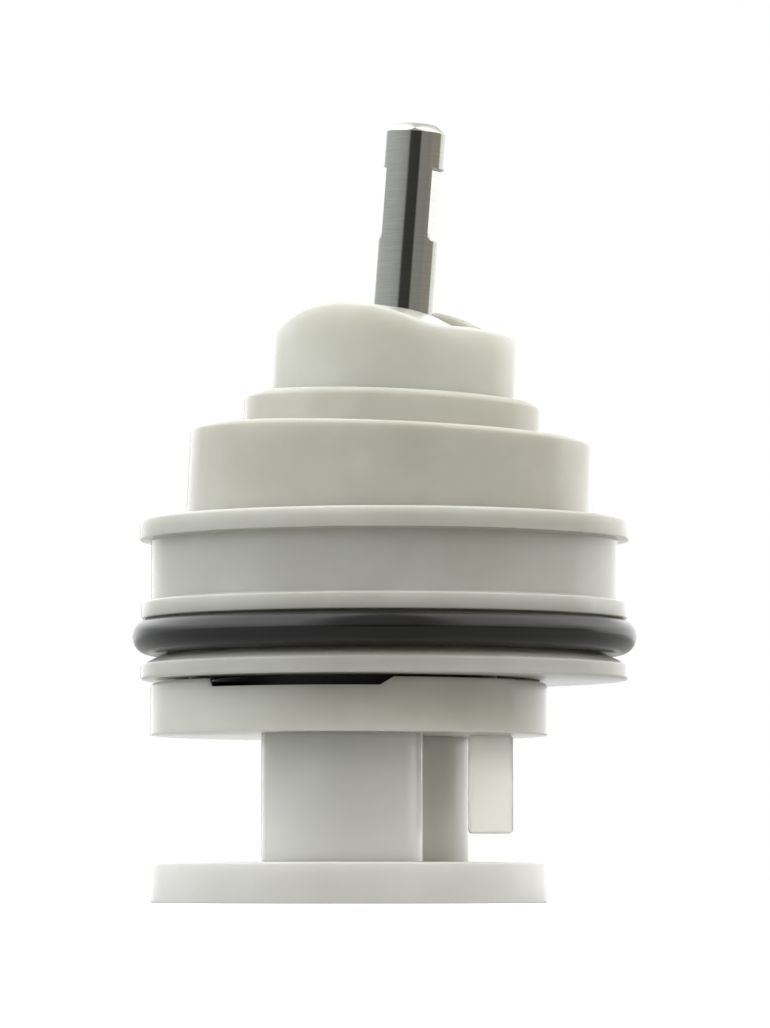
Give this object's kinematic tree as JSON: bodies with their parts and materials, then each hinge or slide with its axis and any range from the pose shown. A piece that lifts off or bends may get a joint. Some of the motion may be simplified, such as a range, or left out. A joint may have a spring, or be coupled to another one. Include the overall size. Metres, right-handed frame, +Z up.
{
  "type": "lever diverter cartridge",
  "caption": "Lever-operated ceramic-disc diverter cartridge: a steel stem tilts and turns in a stepped plastic head, above a sealed ring body and an off-centre base with outlet ports.",
  "frame": {"origin": "on the body ring's axis, level with the foot of the bottom plate", "axes": "+Z up along the body ring's axis towards the stem, +X towards the side of the key lug"},
  "size_m": [0.043, 0.043, 0.0666],
  "materials": {
    "natural_acetal": "satin, milky and slightly translucent",
    "clear_acetal": "satin, milky, lets light through",
    "warm_acetal": "satin, milky with a warm tint",
    "grey_acetal": "satin, milky grey",
    "white_acetal": "satin, milky white",
    "cream_acetal": "satin, cream",
    "black_plastic": "satin black",
    "black_rubber": "smooth moulded nitrile with a soft sheen",
    "ceramic": "lapped alumina",
    "steel": "ground stainless steel"
  },
  "bodies": {
    "housing": {"bottom_plate": "white_acetal", "front_port_seal": "black_rubber", "rear_port_seal": "black_rubber", "front_tube": "clear_acetal", "rear_tube": "clear_acetal", "key_lug": "cream_acetal", "port_cup": "natural_acetal", "seal_carrier": "black_plastic", "disc_gasket": "black_rubber", "locating_pins": "clear_acetal", "body_ring": "grey_acetal", "main_o_ring": "black_rubber", "snap_ring": "steel", "bonnet": "warm_acetal", "fixed_disc": "ceramic", "stop_pin": "steel", "thrust_washer": "cream_acetal"},
    "turret": {"turret": "natural_acetal", "turret_o_ring": "black_rubber", "pivot_pin": "steel"},
    "lever": {"stem": "steel", "ball_bush": "cream_acetal"},
    "slider": {"carriage": "cream_acetal", "moving_disc": "ceramic"}
  },
  "joints": [
    {"name": "turret_turn", "type": "hinge", "parent": "housing", "child": "turret", "pos_m": [0.0004, 0, 0.03449], "axis": [0.0419, 0, 0.9991], "range_deg": [-22, 78]},
    {"name": "stem_tilt", "type": "hinge", "parent": "turret", "child": "lever", "pos_m": [0.0004, 0, 0.03449], "axis": [0.4691, 0.8829, -0.0197], "range_deg": [-16.1, 11.9]},
    {"name": "carriage_slide", "type": "slide", "parent": "turret", "child": "slider", "axis": [0.8822, -0.4695, -0.037], "range_m": [-0.00146, 0.00197]}
  ],
  "couplings": [
    {"joint": "carriage_slide", "follows": "stem_tilt", "m_per_rad": -0.00693}
  ]
}
